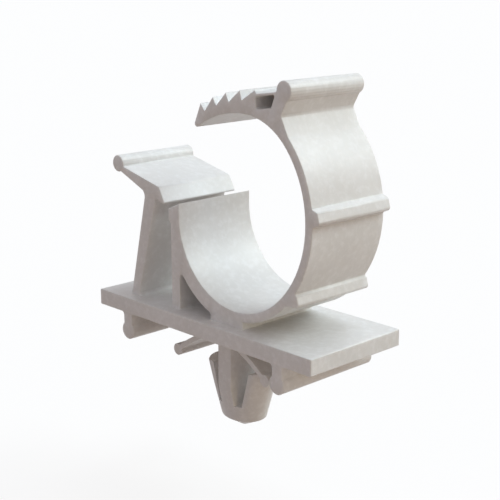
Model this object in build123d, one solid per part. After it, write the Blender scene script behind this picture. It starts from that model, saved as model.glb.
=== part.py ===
from build123d import *
import os
from math import degrees

# Adjustable cable clamp moulded in one piece of natural nylon. The origin is on the arrowhead's axis,
# in the plane where the feet stand on the panel. +Z points away from the panel, +Y runs along the
# cable bundle and the latch post is on the -X side. All sizes are in millimetres and degrees.

# Base plate and feet
base_width = 10.0
base_thickness = 1.35
base_latch_end = 12.8
base_loop_end = 12.1
base_round = 0.1
foot_height = 2.3
latch_foot_offset = 9.05
loop_foot_offset = 8.65
foot_neck = 1.05
foot_bead = 1.55
foot_fillet = 0.3

# Inner face of the open loop: seat, side, shoulder and arm are tangent arcs
loop_width = 7.85
seat_offset = 3.1
seat_clearance = 1.3
seat_radius = 6.55
seat_sweep_angle = 129.0
side_radius = 8.3
side_sweep_angle = 91.0
shoulder_radius = 5.85
shoulder_sweep_angle = 50.0
arm_radius = 9.1
arm_sweep_angle = 42.0

# Walls of the loop, and the web that ties its seat to the base
loop_wall = 0.75
cradle_wall = 1.35
web_before_seat = 2.9
web_past_seat = 0.8
web_fillet = 0.25

# Upright wall beside the seat, with a slanted top and a lip that guide the arm
wall_thickness = 1.04
wall_rise = 0.92
wall_drop = 0.57
lip_reach = 0.25
lip_height = 1.5

# Ratchet teeth on the arm, counted from its free end, each standing higher than the one before
tooth_count = 5
tooth_pitch = 1.5
tooth_height = 0.7
tooth_climb = 0.03
tooth_rake = 0.2
arm_tip_angle = 25.8
arm_tip_lean_angle = 24.0
arm_tip_round = 0.25

# Finger rib on the shoulder, and the cored window beside it
finger_angle = 61.6
finger_stand = 2.31
finger_bead = 1.5
finger_web = 1.25
finger_web_angle = -40.0
plate_drop = 0.22
gusset_angle = 45.0
web_foot_angle = 56.9
web_foot_stand = 0.66
web_foot_fillet = 0.35
window_angle = 77.4
window_sink = 0.12
window_roof = 0.22
window_top = 1.95
window_bottom = 1.55
window_round = 0.12

# Grip ribs along the outside of the loop, placed by angles about the side arc's axis
grip_stand = 0.6
grip_thickness = 0.9
grip_lean_angle = 16.0
grip_round = 0.28
grip_angles = (4.5, -36.8)
grip_root_angles = ((-1.0, 10.4), (-47.0, -34.5))
grip_fillet = 0.12

# Latch post with its hook and thumb tab
latch_gap = 0.38
hook_height = 8.4
hook_reach = 1.2
hook_rise = 0.33
hook_face_run = 0.78
hook_face_rise = 1.4
hook_round = 0.3
hook_tip_round = 0.12
post_foot = 0.96
post_top = 1.35
post_lean = 2.65
post_fillet = 0.45
tab_length = 5.45
tab_angle = 13.2
tab_bead = 1.4
tab_edge = 0.5
tab_root_rise = 0.35
tab_under_angle = -60.0
tab_fillet = 0.6

# Arrowhead that snaps into the panel hole
panel_hole = 4.8
hole_clearance = 0.05
panel_grip = 1.1
stem_thickness = 1.45
barb_diameter = 6.5
barb_width = 3.1
barb_thickness = 1.13
barb_slant_angle = 10.0
head_length = 5.25
head_flatness = 0.81
nose_diameter = 4.11
nose_height = 0.85
nose_flat = 0.6
nose_round = 0.3
slot_depth = 3.08

# Spring wings that press on the panel
wing_width = 5.6
wing_thickness = 0.42
wing_bead = 1.0
wing_root = 0.05
wing_radius = 15.0
wing_root_angle = 16.6
wing_sweep_angle = 22.4

# Moulded edges, and how deep a foot runs into the plate that carries it
edge_break = 0.06
bead_fillet = 0.15
root_depth = 0.12

# Levels and axes that follow from the sizes above
base_bottom = foot_height
base_top = base_bottom + base_thickness
base_middle = base_bottom + base_thickness / 2
seat_axis = Vector(seat_offset, base_top + seat_clearance + seat_radius)
wall_inner = seat_axis.X - seat_radius
wall_outer = wall_inner - wall_thickness
wall_top = seat_axis.Y + wall_rise
lip_outer = wall_outer - lip_reach
hook_tip = Vector(lip_outer - latch_gap, base_top + hook_height)
web_start = seat_axis.X - web_before_seat
web_end = seat_axis.X + web_past_seat
post_right = hook_tip.X - hook_reach - post_lean
post_left = post_right - post_foot
stem_diameter = panel_hole - 2 * hole_clearance


def polar(centre, radius, angle):
    return centre + Vector(radius, 0).rotate(Axis.Z, angle)


def polygon(*points):
    return make_face(Polyline(*points, close=True))


def disc(centre, diameter):
    return Pos(centre.X, centre.Y) * Circle(diameter / 2)


def block(left, right, bottom, top):
    return polygon((left, bottom), (right, bottom), (right, top), (left, top))


def round_corners(sketch, radius, *points):
    """Rounds the corner of the sketch that lies nearest to each point."""
    for point in points:
        sketch = fillet(sketch.vertices().sort_by_distance(point)[0], radius)
    return sketch


def add_bead(sketch, centre, diameter, *directions):
    """Adds a round bead and softens the corners where the sketch runs into it."""
    sketch += disc(centre, diameter)
    return round_corners(sketch, bead_fillet, *(polar(centre, diameter / 2, angle) for angle in directions))


def prism(sketch, width):
    """Extrudes an X-Z profile evenly about Y and breaks the edges of both ends."""
    solid = extrude(Plane.XZ * sketch, width / 2, both=True)
    ends = solid.edges().filter_by_position(Axis.Y, width / 2, width / 2)
    ends += solid.edges().filter_by_position(Axis.Y, -width / 2, -width / 2)
    return chamfer(ends, edge_break)


def arc_chain(start, arcs):
    """Tangent arcs that leave the start point downwards and turn left."""
    chain = []
    heading = Vector(0, -1)
    for radius, sweep in arcs:
        chain.append(JernArc(start, heading, radius, sweep))
        start, heading = chain[-1] @ 1, chain[-1] % 1
    return chain


def loop_arcs(offset):
    """The loop's arcs, moved outwards from the inner face."""
    return arc_chain(
        Vector(wall_inner - offset, seat_axis.Y),
        [
            (seat_radius + offset, seat_sweep_angle),
            (side_radius + offset, side_sweep_angle),
            (shoulder_radius + offset, shoulder_sweep_angle),
            (arm_radius + offset, arm_sweep_angle),
        ],
    )


inner_arcs = loop_arcs(0)
outer_arcs = loop_arcs(loop_wall)
side_axis, shoulder_axis, arm_axis = (arc.center_point for arc in inner_arcs[1:])
arm_start = seat_sweep_angle + side_sweep_angle + shoulder_sweep_angle - 180
shoulder_outer = shoulder_radius + loop_wall
arm_outer = arm_radius + loop_wall
tooth_root = arm_outer - loop_wall / 2
tooth_peak = arm_outer + tooth_height
tooth_step = degrees(tooth_pitch / tooth_peak)
tooth_back = degrees(tooth_rake / tooth_peak)
first_tooth = arm_start + arm_tip_angle
last_tooth = first_tooth - (tooth_count - 1) * tooth_step
last_peak = tooth_peak + (tooth_count - 1) ** 2 * tooth_climb
plate_start = polar(arm_axis, last_peak - plate_drop, last_tooth - tooth_back)
finger_axis = polar(shoulder_axis, shoulder_outer + finger_stand, finger_angle)
plate_heading = (finger_axis - plate_start).normalized()


def band():
    ends = [Line(inner_arcs[-1] @ 1, outer_arcs[-1] @ 1), Line(outer_arcs[0] @ 0, inner_arcs[0] @ 0)]
    return make_face(inner_arcs + outer_arcs + ends)


def cradle():
    """Thick bed under the seat, its web on the base, and the upright wall with its lip."""
    bed = block(wall_outer, web_end, base_middle, seat_axis.Y)
    bed &= disc(seat_axis, 2 * (seat_radius + cradle_wall))
    web = block(web_start, web_end, base_middle, seat_axis.Y)
    wall = block(wall_outer, wall_inner, base_middle, wall_top - lip_height)
    lip = polygon(
        (wall_inner, wall_top),
        (lip_outer, wall_top - wall_drop),
        (lip_outer, wall_top - lip_height),
        (wall_outer, wall_top - lip_height - lip_reach),
        (wall_inner, wall_top - lip_height - lip_reach),
    )
    return bed + web - disc(seat_axis, 2 * seat_radius) + wall + lip


def teeth():
    """Saw teeth whose steep faces look back along the arm, the last one falling to the shoulder's plate."""
    lead = first_tooth + tooth_step
    tops = [polar(arm_axis, tooth_peak, lead)]
    roots = [polar(arm_axis, tooth_root, lead)]
    for k in range(tooth_count):
        angle = first_tooth - k * tooth_step
        climb = k**2 * tooth_climb
        tops.append(polar(arm_axis, tooth_peak + climb, angle))
        tops.append(polar(arm_axis, arm_outer + climb, angle - tooth_back))
        roots.append(polar(arm_axis, tooth_root, angle))
    tops[-1] = plate_start
    return polygon(*tops, *reversed(roots))


def arm_end():
    """What is cut away to leave the slanted lead-in at the arm's free end."""
    top = polar(arm_axis, tooth_peak, first_tooth)
    slant = Vector(0, arm_radius).rotate(Axis.Z, -arm_tip_lean_angle)
    away = Vector(-arm_radius, 0)
    return polygon(top + slant, top - slant, top - slant + away, top + slant + away)


def shoulder():
    """Finger rib with its web and gusset, the plate that runs back to the teeth, and the window."""
    web_foot = polar(shoulder_axis, shoulder_outer + web_foot_stand, web_foot_angle)
    body = polygon(
        plate_start,
        polar(arm_axis, tooth_root, last_tooth),
        polar(shoulder_axis, shoulder_radius + loop_wall / 2, (last_tooth + gusset_angle) / 2),
        polar(shoulder_axis, shoulder_outer, gusset_angle),
        web_foot,
        polar(finger_axis, finger_web / 2, finger_web_angle),
        finger_axis,
    )
    body = round_corners(body, web_foot_fillet, web_foot)
    plate_angle = Vector(1, 0).get_signed_angle(-plate_heading)
    return add_bead(body, finger_axis, finger_bead, finger_web_angle, plate_angle)


def window():
    """Cored opening between the loop and the plate that roofs it."""
    corner = polar(shoulder_axis, shoulder_outer - window_sink, window_angle)
    ceiling = plate_start - Vector(0, window_roof)
    upper = ceiling + plate_heading * ((corner.X - ceiling.X) / plate_heading.X)
    opening = polygon(
        corner,
        corner + plate_heading * window_bottom,
        upper + plate_heading * window_top,
        upper,
    )
    return fillet(opening.vertices(), window_round)


def grip(angle, root_angles):
    """Rib along the outside of the loop, with a rounded edge that leans back."""
    lower, upper = (polar(side_axis, side_radius + loop_wall / 2, root) for root in root_angles)
    edge = polar(side_axis, side_radius + loop_wall + grip_stand, angle)
    half = Vector(0, grip_thickness / 2).rotate(Axis.Z, grip_lean_angle)
    rib = polygon(lower, edge - half, edge + half, upper)
    return round_corners(rib, grip_round, edge - half, edge + half)


def latch():
    """Leaning post with a hook towards the loop and a beaded thumb tab away from it."""
    hook_root = hook_tip + Vector(-hook_reach, hook_rise)
    hook_top = hook_tip + Vector(-hook_face_run, hook_face_rise)
    tab_end = polar(hook_top, tab_length, 180 - tab_angle)
    tab_root = hook_root + Vector(-post_top, tab_root_rise)
    body = polygon(
        hook_tip,
        hook_root,
        (post_right, base_middle),
        (post_left, base_middle),
        tab_root,
        tab_end - Vector(0, tab_edge),
        tab_end,
        hook_top,
    )
    body = round_corners(body, hook_round, hook_top)
    body = round_corners(body, tab_fillet, tab_root)
    body = round_corners(body, hook_tip_round, hook_tip, hook_root)
    return add_bead(body, tab_end, tab_bead, -tab_angle, tab_under_angle)


def clamp_profile():
    arm_tip = polar(arm_axis, arm_radius, first_tooth) - Vector(loop_wall, loop_wall)
    loop = round_corners(band() + teeth() - arm_end(), arm_tip_round, arm_tip)
    profile = loop + cradle() + shoulder() - window() + latch()
    for angle, root_angles in zip(grip_angles, grip_root_angles):
        roots = [polar(side_axis, side_radius + loop_wall, root) for root in root_angles]
        profile = round_corners(profile + grip(angle, root_angles), grip_fillet, *roots)
    root_top = base_top - root_depth
    profile += block(post_left - 2 * post_fillet, web_end + 2 * web_fillet, base_middle, root_top)
    profile = round_corners(profile, post_fillet, (post_left, root_top), (post_right, root_top))
    hole_radius = seat_radius + cradle_wall
    hole_top = (wall_inner, seat_axis.Y - (hole_radius**2 - seat_radius**2) ** 0.5)
    hole_side = (web_start, seat_axis.Y - (hole_radius**2 - web_before_seat**2) ** 0.5)
    corners = [(x, root_top) for x in (wall_outer, wall_inner, web_start, web_end)]
    return round_corners(profile, web_fillet, hole_top, hole_side, *corners)


def base_profile():
    """Base plate with a beaded foot rib under each end."""
    profile = block(-base_latch_end, base_loop_end, base_bottom, base_top)
    profile = fillet(profile.vertices(), base_round)
    for centre in (-latch_foot_offset, loop_foot_offset):
        profile += block(centre - foot_neck / 2, centre + foot_neck / 2, foot_bead / 2, base_middle)
        profile += disc(Vector(centre, foot_bead / 2), foot_bead)
        for edge in (-foot_neck / 2, foot_neck / 2):
            profile = round_corners(profile, foot_fillet, (centre + edge, base_bottom))
    return profile


def wing():
    """One spring wing, a leaf that droops from the stem to below the feet."""
    centre = Vector(0, base_bottom - wing_root) - Vector(0, wing_radius).rotate(Axis.Z, -wing_root_angle)
    turn = wing_root_angle + wing_sweep_angle
    upper = CenterArc(centre, wing_radius + wing_thickness / 2, 90 - turn, turn)
    lower = CenterArc(centre, wing_radius - wing_thickness / 2, 90 - turn, turn)
    leaf = make_face([upper, lower, Line(upper @ 0, lower @ 0), Line(upper @ 1, lower @ 1)])
    leaf &= block(0, wing_radius, -wing_radius, base_top)
    return leaf + disc(polar(centre, wing_radius, 90 - turn), wing_bead)


def arrowhead():
    """Flat stem with an oval cone at its end, slotted to leave two barbs that fold in on the way home."""
    barb_top = -panel_grip
    tip = barb_top - head_length
    nose_top = tip + nose_height
    slot_floor = barb_top - slot_depth
    slope = (barb_diameter - nose_diameter) / 2 / (barb_top - nose_top)
    outline = polygon(
        (0, base_middle),
        (barb_diameter / 2 + slope * (base_middle - barb_top), base_middle),
        (nose_diameter / 2, nose_top),
        (nose_flat / 2, tip),
        (0, tip),
    )
    outline = round_corners(outline, nose_round, (nose_diameter / 2, nose_top), (nose_flat / 2, tip))
    cone = scale(revolve(Plane.XZ * outline, Axis.Z), by=(1, head_flatness, 1))
    barb_inner = Vector(barb_diameter / 2 - barb_thickness, barb_top)
    barb = polygon(
        barb_inner,
        polar(barb_inner, barb_diameter, barb_slant_angle),
        (barb_inner.X + barb_diameter, slot_floor),
        (barb_inner.X - slope * slot_depth, slot_floor),
    )
    barbs = extrude(Plane.XZ * (barb + mirror(barb, Plane.YZ)), barb_width / 2, both=True)
    stem_width = (stem_diameter**2 - stem_thickness**2) ** 0.5
    stem_height = base_middle - slot_floor
    above_floor = (Align.CENTER, Align.CENTER, Align.MIN)
    below_floor = (Align.CENTER, Align.CENTER, Align.MAX)
    stem = Pos(0, 0, slot_floor) * Box(stem_thickness, stem_width, stem_height, align=above_floor)
    head_height = slot_floor - tip
    head = Pos(0, 0, slot_floor) * Box(barb_diameter, barb_diameter, head_height, align=below_floor)
    return cone & (barbs + stem + head)


def moulding():
    body = prism(base_profile(), base_width) + prism(clamp_profile(), loop_width)
    leaf = wing()
    wings = extrude(Plane.XZ * (leaf + mirror(leaf, Plane.YZ)), wing_width / 2, both=True)
    return body + wings + arrowhead()


os.makedirs("parts", exist_ok=True)
export_step(moulding(), "parts/clamp_moulding.step")
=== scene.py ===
"""Looks of a one-piece nylon cable clamp: its moulded skin, a pale floor, soft light and the camera."""

from math import pi, radians

import bpy
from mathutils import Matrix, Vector


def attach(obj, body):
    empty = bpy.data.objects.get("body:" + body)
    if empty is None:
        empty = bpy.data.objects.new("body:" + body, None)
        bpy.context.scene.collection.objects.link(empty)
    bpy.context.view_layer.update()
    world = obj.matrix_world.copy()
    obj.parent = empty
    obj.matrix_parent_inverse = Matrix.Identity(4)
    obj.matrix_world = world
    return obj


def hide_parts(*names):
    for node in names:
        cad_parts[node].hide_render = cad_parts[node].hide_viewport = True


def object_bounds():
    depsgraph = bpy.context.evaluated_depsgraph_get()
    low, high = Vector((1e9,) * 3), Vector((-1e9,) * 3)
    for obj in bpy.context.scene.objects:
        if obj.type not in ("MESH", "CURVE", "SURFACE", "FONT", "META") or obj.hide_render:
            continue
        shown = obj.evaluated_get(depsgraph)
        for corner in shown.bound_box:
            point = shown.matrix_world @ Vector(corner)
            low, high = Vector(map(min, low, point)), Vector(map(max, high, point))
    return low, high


MM = 0.001
WHITE = (1.0, 1.0, 1.0)

# Camera, in the part's own frame
VIEW_YAW = radians(46.0)
VIEW_PITCH = radians(14.49)
VIEW_ANGLE = radians(25.19)
VIEW_PLACE = Vector((63.03, -60.22, 31.11)) * MM

# Soft light, as the brightness that each gives a white face turned towards it
SKY_LIGHT = (0.39, 0.368, 0.392)
LAMPS = {
    "key": {"bearing": 50.0, "height": 38.0, "spread": 30.0, "light": (0.40, 0.46, 0.47)},
    "top": {"bearing": 75.0, "height": 72.0, "spread": 26.0, "light": (0.235, 0.265, 0.29)},
    "side": {"bearing": 3.0, "height": 6.0, "spread": 36.0, "light": (0.12, 0.094, 0.045)},
}

# Floor under the arrowhead: white to the eye, and a warm grey in the light that it throws back
FLOOR_REACH = 4.0
FLOOR_DROP = 6 * MM
FLOOR_BOUNCE = (0.40, 0.31, 0.26)
FLOOR_GLOW = 0.85

# Natural nylon: clouds from the flow of the melt, flecks in the skin and the grain of the mould
NYLON_PALE = (0.86, 0.855, 0.84)
NYLON_DEEP = (0.755, 0.745, 0.72)
NYLON_IOR = 1.53
NYLON_ROUGHNESS = 0.42
CLOUDS = {"size": 3.2 * MM, "detail": 3.0, "roughness": 0.5}
CLOUD_EDGES = (0.35, 0.68)
CLOUD_SHARE = 0.3
CLOUD_SHINE = 0.04
FLECKS = {"size": 0.55 * MM, "detail": 4.0, "roughness": 0.6}
FLECK_EDGES = (0.42, 0.72)
FLECK_SHARE = 0.7
FLECK_DULLNESS = 0.10
FLECK_HEIGHT = 0.5
GRAIN = {"size": 0.16 * MM, "detail": 3.0, "roughness": 0.6}
GRAIN_DEPTH = 0.02 * MM
GRAIN_STRENGTH = 0.12
MILKINESS = 0.25
MILK_DEPTH = 0.5 * MM
MILK_TINT = (1.0, 0.93, 0.87)

# Skin that stands for the moulding
MERGE_REACH = 0.002 * MM
CREASE_ANGLE = radians(50.0)
FLAT_FACE_WEIGHT = 90

PIECE_NODE = "clamp_moulding"

# A Mix node's colour sockets, which share their names with its other sockets
MIX_FIRST, MIX_SECOND, MIX_RESULT = 6, 7, 2


class Wire:
    """A node's output that takes part in expressions: an operator adds the Math node it stands for."""

    def __init__(self, graph, socket):
        self.graph = graph
        self.socket = socket

    def __add__(self, other):
        return self.graph.math("ADD", self, other)

    def __sub__(self, other):
        return self.graph.math("SUBTRACT", self, other)

    def __mul__(self, other):
        return self.graph.math("MULTIPLY", self, other)

    def __radd__(self, other):
        return self.graph.math("ADD", other, self)

    def __rsub__(self, other):
        return self.graph.math("SUBTRACT", other, self)

    def __rmul__(self, other):
        return self.graph.math("MULTIPLY", other, self)


class Graph:
    """Writes nodes into a tree."""

    def __init__(self, tree):
        self.tree = tree
        tree.nodes.clear()

    def node(self, kind, settings=None, inputs=None, output=0):
        """Adds a node, with its settings first and then the values or links of its sockets."""
        made = self.tree.nodes.new(kind)
        for name, value in (settings or {}).items():
            setattr(made, name, value)
        for key, value in (inputs or {}).items():
            if isinstance(value, Wire):
                self.tree.links.new(value.socket, made.inputs[key])
            else:
                made.inputs[key].default_value = value
        return Wire(self, made.outputs[output]) if len(made.outputs) else None

    def math(self, operation, first, second):
        return self.node("ShaderNodeMath", {"operation": operation}, {0: first, 1: second})

    def ramp(self, value, low, high):
        """Runs smoothly from 0 to 1 while the value goes from low to high."""
        return self.node(
            "ShaderNodeMapRange",
            {"interpolation_type": "SMOOTHSTEP"},
            {"Value": value, "From Min": low, "From Max": high},
        )

    def noise(self, place, size, detail, roughness):
        """Noise whose features are about the given size across."""
        return self.node(
            "ShaderNodeTexNoise",
            {},
            {"Vector": place, "Scale": 1 / size, "Detail": detail, "Roughness": roughness},
        )

    def blend(self, share, first, second):
        """Colour that goes from the first to the second."""
        return self.node(
            "ShaderNodeMix",
            {"data_type": "RGBA"},
            {"Factor": share, MIX_FIRST: (*first, 1.0), MIX_SECOND: (*second, 1.0)},
            output=MIX_RESULT,
        )

    def seen(self):
        """1 for what the camera sees, straight on or in a reflection or through glass."""
        kinds = ("Is Camera Ray", "Is Glossy Ray", "Is Transmission Ray")
        straight, mirrored, through = (self.node("ShaderNodeLightPath", output=kind) for kind in kinds)
        return self.math("MAXIMUM", straight, self.math("MAXIMUM", mirrored, through))


def shader_graph(name):
    material = bpy.data.materials.new(name)
    material.use_nodes = True
    return material, Graph(material.node_tree)


def add_object(name, data):
    made = bpy.data.objects.new(name, data)
    bpy.context.scene.collection.objects.link(made)
    return made


def nylon():
    """Milky satin nylon."""
    material, g = shader_graph("natural_nylon")
    place = g.node("ShaderNodeTexCoord", output="Object")
    clouds = g.ramp(g.noise(place, **CLOUDS), *CLOUD_EDGES)
    flecks = g.ramp(g.noise(place, **FLECKS), *FLECK_EDGES)
    relief = g.noise(place, **GRAIN) + FLECK_HEIGHT * flecks
    paleness = CLOUD_SHARE * clouds + FLECK_SHARE * flecks
    bump = g.node(
        "ShaderNodeBump",
        {},
        {"Strength": GRAIN_STRENGTH, "Distance": GRAIN_DEPTH, "Height": relief},
    )
    skin = g.node(
        "ShaderNodeBsdfPrincipled",
        {},
        {
            "Base Color": g.blend(paleness, NYLON_DEEP, NYLON_PALE),
            "Roughness": NYLON_ROUGHNESS + FLECK_DULLNESS * flecks - CLOUD_SHINE * clouds,
            "IOR": NYLON_IOR,
            "Subsurface Weight": MILKINESS,
            "Subsurface Radius": MILK_TINT,
            "Subsurface Scale": MILK_DEPTH,
            "Normal": bump,
        },
    )
    g.node("ShaderNodeOutputMaterial", {}, {"Surface": skin})
    return material


def skin_of(node_object, material):
    """Copies the moulding, joins its loose triangles and shades all but its real corners as soft."""
    source = add_object("skin_source", node_object.data.copy())
    tree = bpy.data.node_groups.new("moulded_skin", "GeometryNodeTree")
    sockets = tree.interface
    sockets.new_socket("Mesh", in_out="INPUT", socket_type="NodeSocketGeometry")
    reach = sockets.new_socket("Merge reach", in_out="INPUT", socket_type="NodeSocketFloat")
    crease = sockets.new_socket("Crease angle", in_out="INPUT", socket_type="NodeSocketFloat")
    finish = sockets.new_socket("Finish", in_out="INPUT", socket_type="NodeSocketMaterial")
    sockets.new_socket("Mesh", in_out="OUTPUT", socket_type="NodeSocketGeometry")
    g = Graph(tree)

    def given(name):
        return g.node("NodeGroupInput", output=name)

    joined = g.node(
        "GeometryNodeMergeByDistance", {}, {"Geometry": given("Mesh"), "Distance": given("Merge reach")}
    )
    soft = g.node(
        "GeometryNodeSetShadeSmooth", {"domain": "FACE"}, {"Geometry": joined, "Shade Smooth": True}
    )
    corners = g.math("GREATER_THAN", g.node("GeometryNodeInputMeshEdgeAngle"), given("Crease angle"))
    shaded = g.node(
        "GeometryNodeSetShadeSmooth",
        {"domain": "EDGE"},
        {"Geometry": soft, "Selection": corners, "Shade Smooth": False},
    )
    whole = g.node("GeometryNodeRealizeInstances", {}, {"Geometry": shaded})
    dressed = g.node("GeometryNodeSetMaterial", {}, {"Geometry": whole, "Material": given("Finish")})
    g.node("NodeGroupOutput", {}, {"Mesh": dressed})
    skin = source.modifiers.new("skin", "NODES")
    skin.node_group = tree
    skin[reach.identifier] = MERGE_REACH
    skin[crease.identifier] = CREASE_ANGLE
    skin[finish.identifier] = material
    weighted = source.modifiers.new("soft_edges", "WEIGHTED_NORMAL")
    weighted.mode = "FACE_AREA"
    weighted.weight = FLAT_FACE_WEIGHT
    weighted.keep_sharp = True
    evaluated = source.evaluated_get(bpy.context.evaluated_depsgraph_get())
    result = bpy.data.meshes.new_from_object(evaluated)
    bpy.data.objects.remove(source)
    return add_object("clamp_skin", result)


def add_floor(level):
    """Wide floor that looks white, shows the clamp's shadow and throws back a little warm light."""
    material, g = shader_graph("pale_floor")
    seen = g.seen()
    matt = g.node("ShaderNodeBsdfDiffuse", {}, {"Color": g.blend(seen, FLOOR_BOUNCE, WHITE)})
    glow = g.node("ShaderNodeEmission", {}, {"Color": (*WHITE, 1.0), "Strength": 1.0})
    shown = g.node("ShaderNodeMixShader", {}, {0: seen * FLOOR_GLOW, 1: matt, 2: glow})
    g.node("ShaderNodeOutputMaterial", {}, {"Surface": shown})
    mesh = bpy.data.meshes.new("floor")
    turns = ((-1, -1), (1, -1), (1, 1), (-1, 1))
    corners = [(x * FLOOR_REACH, y * FLOOR_REACH, level) for x, y in turns]
    mesh.from_pydata(corners, [], [(0, 1, 2, 3)])
    mesh.materials.append(material)
    add_object("floor", mesh)


def add_light():
    """Even sky that looks white, and soft lamps that shine from their bearing and height in degrees."""
    world = bpy.data.worlds.new("studio")
    world.use_nodes = True
    g = Graph(world.node_tree)
    shown = g.blend(g.seen(), SKY_LIGHT, WHITE)
    sky = g.node("ShaderNodeBackground", {}, {"Color": shown, "Strength": 1.0})
    g.node("ShaderNodeOutputWorld", {}, {"Surface": sky})
    bpy.context.scene.world = world
    for name, lamp in LAMPS.items():
        data = bpy.data.lights.new(name, "SUN")
        data.energy = pi
        data.color = lamp["light"]
        data.angle = radians(lamp["spread"])
        add_object(name, data).rotation_euler = (
            radians(90 - lamp["height"]),
            0,
            radians(90 + lamp["bearing"]),
        )


def add_camera():
    data = bpy.data.cameras.new("camera")
    data.sensor_fit = "HORIZONTAL"
    data.angle = VIEW_ANGLE
    data.clip_start = MM
    camera = add_object("camera", data)
    camera.location = VIEW_PLACE
    camera.rotation_euler = (radians(90) - VIEW_PITCH, 0, VIEW_YAW)
    bpy.context.scene.camera = camera


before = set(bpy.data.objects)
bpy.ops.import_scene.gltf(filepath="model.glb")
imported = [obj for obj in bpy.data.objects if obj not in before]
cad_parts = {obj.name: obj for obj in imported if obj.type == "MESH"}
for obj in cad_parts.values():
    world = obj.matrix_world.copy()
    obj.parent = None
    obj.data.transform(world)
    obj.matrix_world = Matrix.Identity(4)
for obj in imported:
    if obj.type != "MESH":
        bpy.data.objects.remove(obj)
cad_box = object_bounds()
bpy.context.scene.view_settings.view_transform = "Standard"

clamp = skin_of(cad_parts[PIECE_NODE], nylon())
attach(clamp, "root")
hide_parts(PIECE_NODE)

lowest = cad_box[0][2]
add_floor(lowest - FLOOR_DROP)
add_light()
add_camera()
